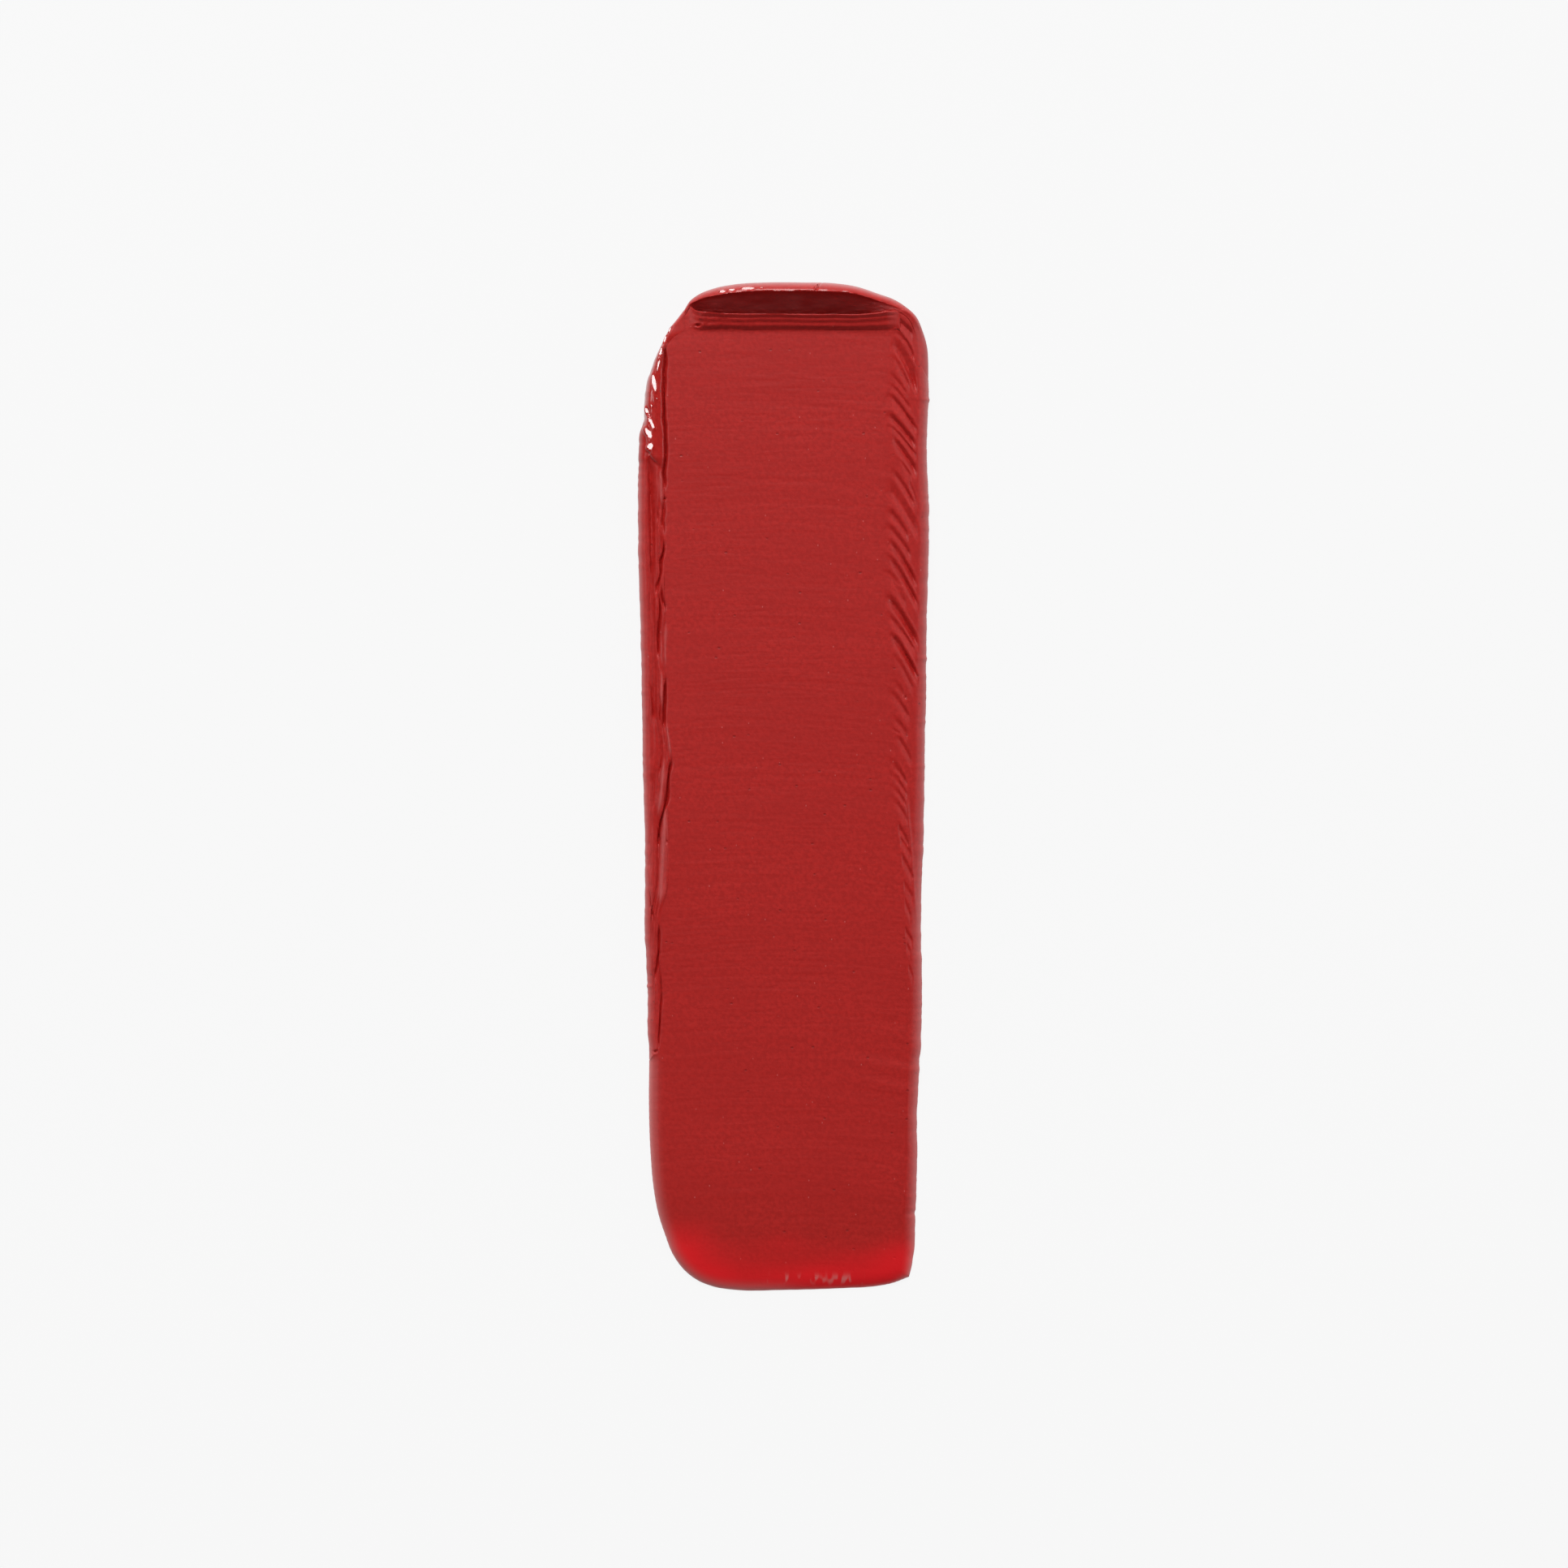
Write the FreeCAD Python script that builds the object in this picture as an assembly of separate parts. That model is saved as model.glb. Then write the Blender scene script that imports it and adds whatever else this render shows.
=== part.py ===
import FreeCAD, Part
import os
from FreeCAD import Vector

# A smear of soft lipstick paste, spread on a flat surface in one stroke of a spatula.
# Millimetres, +Z up. The smear lies on the plane Z = 0, with its origin under its middle.
# The stroke ran along +Y, from the thin toe at -Y to the raised curl at +Y.
#
# The paste is one mass. Each lap that a crease sets apart is a solid of its own:
#     spread_strip  the flat band under the blade, with its chattered right shoulder and thin toe
#     blade_ridge   the low double rib left where the blade stopped
#     end_curl      the wave of paste pushed ahead of the blade, wrapped round the right corner
#     left_bead     the glossy roll squeezed out past the blade's left end
#     left_fold     the streaked lap below that roll
#     left_flap     the narrow tongue turned inwards over the strip's left edge
# Walls along the creases are upright, so that neighbouring laps meet face to face.

# Driving dimensions
LENGTH = 51.7            # from the toe to the outside of the curl
WIDTH = 15.0             # from the outside of the left laps to the outside of the right shoulder
THICK = 1.35             # strip at the blade line
THIN = 0.50              # strip just behind the toe
TOE_EDGE = 0.16          # the very edge of the toe
TOE_RUN = 2.4            # length over which the toe thins out
BLADE_BACK = 2.42        # from the outside of the curl back to the blade line
RIDGE_DEPTH = 0.80       # from the blade line to the hollow face of the curl
RIDGE_RISE = 0.16        # ridge above the strip
CURL_HEIGHT = 2.40       # crest of the curl
SHOULDER_RIM = 0.35      # share of the thickness left where the shoulder's blank ends
SHOULDER_SPARE = 0.25    # how far that blank reaches past the outline
GROOVE_WIDTH = 0.34      # a chatter groove on the shoulder
GROOVE_SLANT = 1.55      # how far it runs back along the stroke for each millimetre outwards
GROOVE_REACH = 0.95      # share of the shoulder's width that it crosses
CLEAR = 0.06             # how far cutters stand proud of what they cut
MARGIN = 1.0             # how far blanks and zones reach past the smear, down as well as out

# Places that follow from them
TOP = LENGTH / 2
SIDE = WIDTH / 2
BLADE_Y = TOP - BLADE_BACK
CURL_FOOT_Y = BLADE_Y + RIDGE_DEPTH
HEADROOM = CURL_HEIGHT + MARGIN
OUTER_X = SIDE + MARGIN
OUTER_Y = TOP + MARGIN

# The outline on the surface: the right side going up, the end, the left side going down, the toe
RIGHT_EDGE = [
    (6.42, -25.15), (6.64, -24.40), (6.74, -22.60), (6.90, -19.50), (6.83, -17.00),
    (6.96, -14.80), (7.10, -10.80), (7.08, -6.00), (7.20, -1.00), (7.36, 6.60),
    (7.45, 14.00), (7.42, 17.00), (SIDE, 20.00), (7.36, 22.20), (7.02, 23.75),
]
END_EDGE = [
    (6.40, 24.55), (5.30, 25.15), (3.70, 25.62), (1.70, TOP), (-2.00, TOP), (-3.60, 25.50),
]
LEFT_EDGE = [
    (-4.75, 24.90), (-5.95, 23.40), (-6.45, 22.30), (-7.05, 20.40), (-7.20, 19.00),
    (-7.40, 17.00), (-SIDE, 15.20), (-7.45, 12.50), (-7.30, 7.50), (-7.16, 1.70),
    (-7.08, -4.00), (-6.93, -12.00), (-6.85, -17.50), (-6.60, -20.80), (-5.95, -23.30),
]
TOE_LINE = [
    (-4.90, -24.95), (-3.60, -25.65), (-2.20, -TOP), (1.00, -25.78), (4.60, -25.64), (5.80, -25.42),
]

# The crease between the strip and the laps on its left, from the curl to where it runs out
LEFT_CREASE = [
    (-5.50, 25.60), (-5.05, 24.30), (-5.05, 23.40), (-5.60, 22.85), (-6.00, 22.00),
    (-6.04, 20.00), (-6.04, 17.00), (-6.12, 11.00), (-6.00, 5.00), (-6.00, 2.50),
    (-6.10, -3.00), (-6.20, -8.70), (-6.40, -13.00), (-7.20, -14.60),
]
ROLL_END = [(-OUTER_X, 22.50), (-5.50, 14.10)]  # where the glossy roll gives way to the fold

# The tongue that lies over the crease: its side on the strip going down, then its side on the fold
FLAP_INNER = [(-6.00, 2.70), (-5.78, 1.70), (-5.84, -1.50), (-5.86, -4.60), (-6.14, -6.20)]
FLAP_OUTER = [(-6.14, -6.20), (-6.34, -5.00), (-6.34, -2.90), (-6.20, -0.40), (-6.12, 1.50), (-6.00, 2.70)]
FLAP_RISE = 0.08         # above the strip

# Where the curl wraps round the right corner, outwards from the end of the blade line
CORNER_WRAP = [(5.80, BLADE_Y), (6.40, 22.95), (7.00, 22.20), (OUTER_X, 21.00)]
CURL_FOOT_X = 5.98       # right end of the curl's hollow face

# Width of the sloping right shoulder, by place along Y
SHOULDER = [
    (OUTER_Y, 1.90), (10.0, 1.90), (0.0, 1.55), (-6.0, 0.95), (-16.0, 0.60), (-OUTER_Y, 0.45),
]

# Chatter grooves across the shoulder: inner end along Y, and depth
CHATTER = [
    (22.2, 0.22), (20.9, 0.12), (19.8, 0.16), (18.9, 0.22), (18.1, 0.20), (17.2, 0.12),
    (16.0, 0.16), (15.2, 0.22), (14.1, 0.14), (13.3, 0.14), (12.6, 0.22), (11.8, 0.22),
    (10.9, 0.12), (9.7, 0.24), (8.7, 0.12), (7.7, 0.24), (6.6, 0.14), (5.1, 0.14),
    (4.1, 0.10), (2.9, 0.08), (1.4, 0.14), (0.1, 0.12), (-1.5, 0.10), (-3.1, 0.10), (-5.0, 0.08),
]

# Laps on the left, as stations along Y: how far the crown is drawn up above the strip, and the
# outer side's height as a share of the strip's thickness
BEAD_STATIONS = [
    (24.2, 0.20, 0.70), (23.4, 0.40, 0.60), (21.0, 0.50, 0.50), (18.5, 0.55, 0.45), (15.0, 0.40, 0.45),
]
FOLD_STATIONS = [
    (20.0, 0.15, 0.50), (13.0, 0.32, 0.50), (9.0, 0.20, 0.55), (4.0, 0.28, 0.50),
    (-2.0, 0.22, 0.50), (-8.0, 0.12, 0.55), (-13.6, 0.00, 0.60),
]
LAP_TUCK = 0.6           # how far a lap's blank reaches past the crease before it is trimmed

# The curl, as stations along X: its foot and its outside along Y, its crest, and the bottom of
# its hollow face
CURL_STATIONS = [
    (-5.60, 24.05, 24.55, 1.50, 1.10), (-4.80, 24.20, 25.00, 1.80, 1.20),
    (-3.60, CURL_FOOT_Y, 25.52, 2.15, 1.25), (-1.50, CURL_FOOT_Y, TOP, CURL_HEIGHT, 1.28),
    (1.50, CURL_FOOT_Y, TOP, CURL_HEIGHT, 1.28), (3.70, CURL_FOOT_Y, 25.60, 2.25, 1.28),
    (5.30, 24.00, 25.15, 2.00, 1.25), (6.30, 23.10, 24.60, 1.65, 1.20),
    (7.00, 22.30, 23.80, 1.20, 0.95), (7.60, 21.60, 22.90, 0.80, 0.70),
]


def smooth_edge(poles):
    """A smooth open edge from the first pole to the last, drawn towards those between them."""
    spline = Part.BSplineCurve()
    spline.buildFromPoles(poles)
    return spline.toShape()


def plan_edge(points):
    """A smooth open edge on the surface, through points given as (x, y)."""
    spline = Part.BSplineCurve()
    spline.interpolate([Vector(x, y, 0) for x, y in points])
    return spline.toShape()


def chain(points):
    """Straight edges from one vector to the next."""
    return [Part.LineSegment(a, b).toShape() for a, b in zip(points, points[1:])]


def prism(edges, bottom=-MARGIN):
    """The upright body inside a closed chain of edges, from its bottom to clear of the curl."""
    face = Part.Face(Part.Wire(edges))
    face.translate(Vector(0, 0, bottom))
    return face.extrude(Vector(0, 0, HEADROOM - bottom))


def zone(points):
    """The upright body over a polygon on the surface, its corners given as (x, y)."""
    corners = [Vector(x, y, 0) for x, y in points]
    return prism(chain(corners + corners[:1]))


def interpolate(rows, place):
    """The value at a place, from rows of (place, value) that fall in place."""
    place = max(rows[-1][0], min(rows[0][0], place))
    for (high, value_high), (low, value_low) in zip(rows, rows[1:]):
        if place >= low:
            return value_low + (value_high - value_low) * (place - low) / (high - low)
    return rows[-1][1]


def x_along(edge, y):
    """X at y of an edge that runs along Y."""
    return interpolate(sorted(((py, px) for px, py in edge), reverse=True), y)


def thickness(y):
    """The height of the strip's flat top at y."""
    behind_toe = -TOP + TOE_RUN
    rows = [
        (BLADE_Y, THICK), (behind_toe, THIN), (-TOP + TOE_RUN / 4, 0.65 * THIN), (-OUTER_Y, TOE_EDGE),
    ]
    return interpolate(rows, y)


def shoulder_start(y):
    """X at which the right shoulder begins to slope, at y."""
    return x_along(RIGHT_EDGE, y) - interpolate(SHOULDER, y)


def shoulder_height(x, y):
    """The height of the sloping shoulder."""
    share = (x - shoulder_start(y)) / (interpolate(SHOULDER, y) + SHOULDER_SPARE)
    return thickness(y) * (1 - (1 - SHOULDER_RIM) * share)


def strip_section(y):
    """The strip across X at y: a flat top and a sloping right shoulder."""
    outer = x_along(RIGHT_EDGE, y) + SHOULDER_SPARE
    corners = [
        Vector(-OUTER_X, y, -MARGIN), Vector(-OUTER_X, y, thickness(y)),
        Vector(shoulder_start(y), y, thickness(y)), Vector(outer, y, shoulder_height(outer, y)),
        Vector(outer, y, -MARGIN),
    ]
    return Part.makePolygon(corners + corners[:1])


def groove_section(centre, half_width, depth):
    """A V across a chatter groove, standing CLEAR above the shoulder."""
    slant = Vector(1, -GROOVE_SLANT, 0).normalize()
    across = slant.cross(Vector(0, 0, 1)) * half_width
    top = centre + Vector(0, 0, CLEAR)
    corners = [top - across, top + across, centre - Vector(0, 0, depth)]
    return Part.makePolygon(corners + corners[:1])


def chatter_groove(y, depth):
    """A groove that runs outwards and back down the shoulder, deepest half way."""
    run = GROOVE_REACH * interpolate(SHOULDER, y)
    sections = []
    for share, strength in [(0.0, 0.3), (0.5, 1.0), (1.0, 0.3)]:
        x, back = shoulder_start(y) + share * run, y - GROOVE_SLANT * share * run
        centre = Vector(x, back, shoulder_height(x, back))
        sections.append(groove_section(centre, strength * GROOVE_WIDTH / 2, strength * depth))
    return Part.makeLoft(sections, True, True)


def footprint():
    """Everything inside the outline and above the surface, which gives the laps flat undersides."""
    sides = [RIGHT_EDGE, END_EDGE, LEFT_EDGE, TOE_LINE]
    edges = [plan_edge(side + after[:1]) for side, after in zip(sides, sides[1:] + sides[:1])]
    return prism(edges, bottom=0)


def left_side():
    """Everything to the left of the crease."""
    crease = plan_edge(LEFT_CREASE)
    (x0, y0), (x1, y1) = LEFT_CREASE[0], LEFT_CREASE[-1]
    corners = [Vector(x1, y1, 0), Vector(-OUTER_X, y1, 0), Vector(-OUTER_X, y0, 0), Vector(x0, y0, 0)]
    return prism([crease] + chain(corners))


def curl_zone():
    corners = [(-SIDE, CURL_FOOT_Y), (CURL_FOOT_X, CURL_FOOT_Y)] + CORNER_WRAP
    return zone(corners + [(OUTER_X, OUTER_Y), (-SIDE, OUTER_Y)])


def ridge_zone():
    return zone([
        (-SIDE, BLADE_Y), CORNER_WRAP[0], (CURL_FOOT_X, CURL_FOOT_Y), (-SIDE, CURL_FOOT_Y),
    ])


def flap_zone():
    return prism([plan_edge(FLAP_INNER), plan_edge(FLAP_OUTER)])


def fold_zone():
    """Everything on the toe's side of the line where the glossy roll ends."""
    (x0, y0), (x1, y1) = ROLL_END
    return zone([(x0, y0), (x0, -OUTER_Y), (x1, -OUTER_Y), (x1, y1)])


def spread_strip():
    toe_places = [-OUTER_Y, -TOP + TOE_RUN / 4, -TOP + TOE_RUN]
    places = toe_places + [-16.0, -6.0, 0.0, 10.0, BLADE_Y, TOP]
    blank = Part.makeLoft([strip_section(y) for y in places], True, True)
    body = blank.common(footprint())
    body = body.cut([left_side(), curl_zone(), ridge_zone(), flap_zone()])
    return body.cut([chatter_groove(y, depth) for y, depth in CHATTER])


def lap_section(y, rise, side_share):
    """A rounded lap across X at y, from the outline to just past the crease."""
    outer = x_along(LEFT_EDGE, y) - CLEAR
    seam = x_along(LEFT_CREASE, y)
    width = seam - outer
    top = thickness(y)
    over = [
        Vector(outer + CLEAR, y, 0), Vector(outer, y, side_share * top),
        Vector(outer + 0.2 * width, y, top + rise), Vector(outer + 0.7 * width, y, top + rise),
        Vector(seam, y, top - CLEAR), Vector(seam + LAP_TUCK, y, top - CLEAR),
    ]
    corners = [
        over[-1], Vector(seam + LAP_TUCK, y, -MARGIN), Vector(outer + CLEAR, y, -MARGIN), over[0],
    ]
    return Part.Wire([smooth_edge(over)] + chain(corners))


def left_lap(stations):
    body = Part.makeLoft([lap_section(*row) for row in stations], True, True)
    return body.common(footprint()).common(left_side())


def left_bead():
    return left_lap(BEAD_STATIONS).cut([fold_zone(), curl_zone()])


def left_fold():
    return left_lap(FOLD_STATIONS).common(fold_zone()).cut(flap_zone())


def left_flap():
    """The tongue's top is a plane that follows the strip's slope, just proud of it."""
    ends = [Vector(-OUTER_X, y, 0) for y in (FLAP_INNER[0][1] + CLEAR, FLAP_INNER[-1][1] - CLEAR)]
    tops = [end + Vector(0, 0, thickness(end.y) + FLAP_RISE) for end in ends]
    side = Part.Face(Part.Wire(chain([ends[0], tops[0], tops[1], ends[1], ends[0]])))
    return side.extrude(Vector(OUTER_X, 0, 0)).common(flap_zone())


def blade_ridge():
    """Two low ribs side by side behind the blade line."""
    shares = [0.0, 0.1, 0.35, 0.5, 0.65, 0.9, 1.0]
    rises = [-CLEAR, 2 * RIDGE_RISE, RIDGE_RISE, -RIDGE_RISE, RIDGE_RISE, 2 * RIDGE_RISE, -CLEAR]
    tops = [Vector(-SIDE, BLADE_Y + s * RIDGE_DEPTH, THICK + r) for s, r in zip(shares, rises)]
    corners = [tops[-1], Vector(-SIDE, CURL_FOOT_Y, 0), Vector(-SIDE, BLADE_Y, 0), tops[0]]
    side = Part.Face(Part.Wire([smooth_edge(tops)] + chain(corners)))
    return side.extrude(Vector(WIDTH, 0, 0)).common(ridge_zone()).cut(left_side())


def curl_section(x, foot_y, outside_y, crest, hollow):
    """The curl along Y at x: the hollow face, the crest, and the bulging outer face."""
    deep = outside_y - foot_y
    wave = [
        Vector(x, foot_y - MARGIN, hollow), Vector(x, foot_y, hollow),
        Vector(x, foot_y + 0.35 * deep, hollow), Vector(x, foot_y + 0.50 * deep, crest),
        Vector(x, foot_y + 0.90 * deep, 1.04 * crest), Vector(x, outside_y + 2 * CLEAR, 0.7 * crest),
        Vector(x, outside_y, 0),
    ]
    corners = [
        wave[-1], Vector(x, outside_y, -MARGIN), Vector(x, foot_y - MARGIN, -MARGIN), wave[0],
    ]
    return Part.Wire([smooth_edge(wave)] + chain(corners))


def end_curl():
    body = Part.makeLoft([curl_section(*row) for row in CURL_STATIONS], True, True)
    return body.common(footprint()).common(curl_zone()).cut(left_side())


def main():
    laps = {
        "spread_strip": spread_strip(),
        "blade_ridge": blade_ridge(),
        "end_curl": end_curl(),
        "left_bead": left_bead(),
        "left_fold": left_fold(),
        "left_flap": left_flap(),
    }
    os.makedirs("parts", exist_ok=True)
    for name, shape in laps.items():
        shape.exportStep(os.path.join("parts", name + ".step"))


main()
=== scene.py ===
import math
import bpy
import bmesh
import numpy as np
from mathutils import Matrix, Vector


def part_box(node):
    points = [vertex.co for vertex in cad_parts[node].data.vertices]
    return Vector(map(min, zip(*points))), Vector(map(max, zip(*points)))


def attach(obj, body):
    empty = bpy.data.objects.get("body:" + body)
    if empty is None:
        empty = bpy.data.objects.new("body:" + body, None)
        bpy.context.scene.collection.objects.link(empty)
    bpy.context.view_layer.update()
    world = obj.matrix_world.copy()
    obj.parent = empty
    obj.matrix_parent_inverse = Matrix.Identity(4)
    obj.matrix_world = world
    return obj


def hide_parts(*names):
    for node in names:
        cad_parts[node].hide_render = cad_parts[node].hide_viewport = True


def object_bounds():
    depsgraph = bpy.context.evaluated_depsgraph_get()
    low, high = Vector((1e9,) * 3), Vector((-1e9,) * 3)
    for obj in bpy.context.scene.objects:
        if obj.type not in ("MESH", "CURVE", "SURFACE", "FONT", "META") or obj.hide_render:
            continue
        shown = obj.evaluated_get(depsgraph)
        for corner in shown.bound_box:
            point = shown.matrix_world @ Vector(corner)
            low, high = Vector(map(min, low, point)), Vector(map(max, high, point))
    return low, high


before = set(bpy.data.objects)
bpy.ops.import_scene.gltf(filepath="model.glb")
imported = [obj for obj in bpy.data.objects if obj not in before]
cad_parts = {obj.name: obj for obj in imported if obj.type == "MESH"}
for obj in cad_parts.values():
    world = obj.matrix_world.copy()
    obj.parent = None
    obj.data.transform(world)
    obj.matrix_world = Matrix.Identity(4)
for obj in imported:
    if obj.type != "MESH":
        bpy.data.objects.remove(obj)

# A smear of soft red lipstick paste, in millimetres until a mesh is made. +Y runs along the
# stroke, from the thin toe to the raised curl. The surface is one height field, and each lap
# is a closed body under its own share of it.
MM = 0.001
cad_low, cad_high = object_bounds()
ridge_low, ridge_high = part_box("blade_ridge")
TOP = cad_high.y / MM
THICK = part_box("spread_strip")[1].z / MM   # thickness at the blade line
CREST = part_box("end_curl")[1].z / MM       # height of the curl
BLADE_Y = ridge_low.y / MM - 0.09    # the stop line
CAP_LEFT = ridge_low.x / MM          # where the ridge and the curl begin
RIDGE_RIGHT = ridge_high.x / MM
FOLD_LOW_Y = -14.0                   # lower end of the left lap
BEAD_LOW_Y = 16.3                    # lower end of the glossy roll
BEAD_FREE_Y = 18.8                   # above this the roll reaches the outline

THICKNESS = [
    (-TOP - 0.1, 0.20), (-TOP + 0.6, 0.32), (-TOP + 1.5, 0.42), (-TOP + 3.0, 0.51), (-15.0, 0.64),
    (0.0, 0.93), (12.0, 1.14), (BLADE_Y, THICK), (TOP + 0.1, THICK + 0.02),
]

# The outline on the surface
RIGHT_SIDE = [
    (6.45, -25.12), (6.58, -24.60), (6.70, -23.80), (6.76, -22.60), (6.80, -21.20), (6.87, -18.80),
    (6.85, -17.00), (6.96, -15.00), (7.09, -12.20), (7.11, -10.20), (7.06, -6.50), (7.20, -2.50),
    (7.25, 1.50), (7.33, 5.50), (7.35, 8.00), (7.43, 11.00), (7.46, 14.50), (7.39, 16.20),
    (7.37, 18.20), (7.46, 20.00), (7.44, 20.90),
]
TOE = [
    (-6.88, FOLD_LOW_Y), (-6.90, -16.00), (-6.80, -19.00), (-6.70, -20.20), (-6.38, -22.00),
    (-6.05, -23.00), (-5.70, -23.90), (-5.05, -24.80), (-4.40, -25.30), (-3.60, -25.62),
    (-2.40, -25.80), (0.00, -25.80), (3.20, -25.70), (4.60, -25.62), (5.60, -25.44), (6.45, -25.12),
]
TOE_CORNER = (-5.05, -24.80)
LEFT_SIDE = [
    (-6.88, FOLD_LOW_Y), (-6.95, -12.50), (-6.98, -9.90), (-7.09, -8.00), (-7.10, -3.00), (-7.22, 2.00),
    (-7.30, 6.50), (-7.44, 11.50), (-7.47, 14.50), (-7.42, 17.00), (-7.34, 18.30), (-7.18, 18.75),
    (-7.15, 19.60), (-7.06, 20.50), (-6.72, 21.60), (-6.39, 22.40), (-6.05, 23.15), (-5.43, 24.02),
    (CAP_LEFT, 24.52),
]
# Where the left laps lie against the strip
INNER_SIDE = [
    (-6.88, FOLD_LOW_Y), (-6.52, -13.50), (-6.38, -12.60), (-6.22, -10.60), (-6.28, -9.00),
    (-6.28, -6.60), (-5.95, -5.20), (-5.86, -4.00), (-5.86, -2.00), (-5.93, -0.90), (-5.80, 0.60),
    (-5.70, 1.50), (-5.78, 2.30), (-5.95, 3.40), (-6.00, 5.50), (-6.06, 9.00), (-6.10, 12.00),
    (-6.05, 15.00), (-6.08, 20.00), (-6.02, 22.40), (-5.62, 22.95), (CAP_LEFT, BLADE_Y),
]

# Along the curl from its left tip round the right corner: the outline, the crest's inner edge,
# the foot of the hollow and the blade line, then the heights of the crest and the hollow
CAP = [
    ((CAP_LEFT, 24.52), (-5.05, 24.24), (-5.05, 24.10), (CAP_LEFT, BLADE_Y), 1.38, 1.37),
    ((-4.80, 24.90), (-4.78, 24.62), (-4.76, 24.52), (-4.80, BLADE_Y), 1.44, 1.40),
    ((-4.40, 25.22), (-4.42, 24.80), (-4.42, 24.36), (-4.40, BLADE_Y), 1.66, 0.92),
    ((-3.60, 25.55), (-3.66, 25.00), (-3.68, 24.24), (-3.70, BLADE_Y), 1.98, 0.66),
    ((-2.40, 25.78), (-2.43, 25.16), (-2.45, 24.18), (-2.45, BLADE_Y), 2.22, 0.52),
    ((-1.00, 25.86), (-1.00, 25.22), (-1.00, 24.17), (-1.00, BLADE_Y), 2.36, 0.48),
    ((1.00, 25.86), (1.00, 25.22), (1.00, 24.16), (1.00, BLADE_Y), CREST, 0.48),
    ((2.60, 25.82), (2.60, 25.19), (2.60, 24.15), (2.60, BLADE_Y), 2.35, 0.50),
    ((3.80, 25.64), (3.76, 25.08), (3.90, 24.15), (3.90, BLADE_Y), 2.15, 0.60),
    ((4.80, 25.32), (4.60, 24.86), (4.80, 24.24), (4.80, BLADE_Y), 1.84, 1.05),
    ((5.70, 25.00), (5.32, 24.64), (5.40, 24.32), (5.45, BLADE_Y), 1.58, 1.36),
    ((6.30, 24.62), (5.90, 24.42), (5.90, 24.28), (5.86, 23.40), 1.46, 1.44),
    ((6.80, 24.15), (6.44, 24.14), (6.34, 24.00), (6.06, 23.16), 1.37, 1.36),
    ((7.15, 23.40), (6.84, 23.50), (6.68, 23.40), (6.30, 22.85), 1.30, 1.32),
    ((7.38, 22.60), (7.08, 22.60), (6.92, 22.55), (6.52, 22.42), 1.22, 1.26),
    ((7.44, 21.80), (7.22, 21.80), (7.08, 21.80), (6.78, 21.95), 1.14, 1.18),
    ((7.44, 20.90), (7.44, 20.90), (7.44, 20.90), (7.44, 20.90), 0.90, 0.90),
]
# Heights over the strip's from the foot of the hollow to the blade line
RIDGE_PROFILE = [
    (0.00, 0.40), (0.05, 0.48), (0.11, 0.48), (0.20, 0.42), (0.28, 0.36), (0.34, 0.355), (0.44, 0.32),
    (0.52, 0.27), (0.58, 0.25), (0.68, 0.235), (0.76, 0.21), (0.83, 0.15), (0.91, 0.08), (0.97, 0.03),
    (1.00, 0.02),
]

# The right shoulder: where it starts to slope, along Y
SHOULDER_START = [
    (-TOP, 6.00), (-20.0, 6.30), (-10.0, 6.30), (-5.4, 6.15), (-1.2, 5.76), (2.9, 5.60),
    (11.2, 5.45), (19.5, 5.45), (BLADE_Y, 5.70),
]
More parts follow.
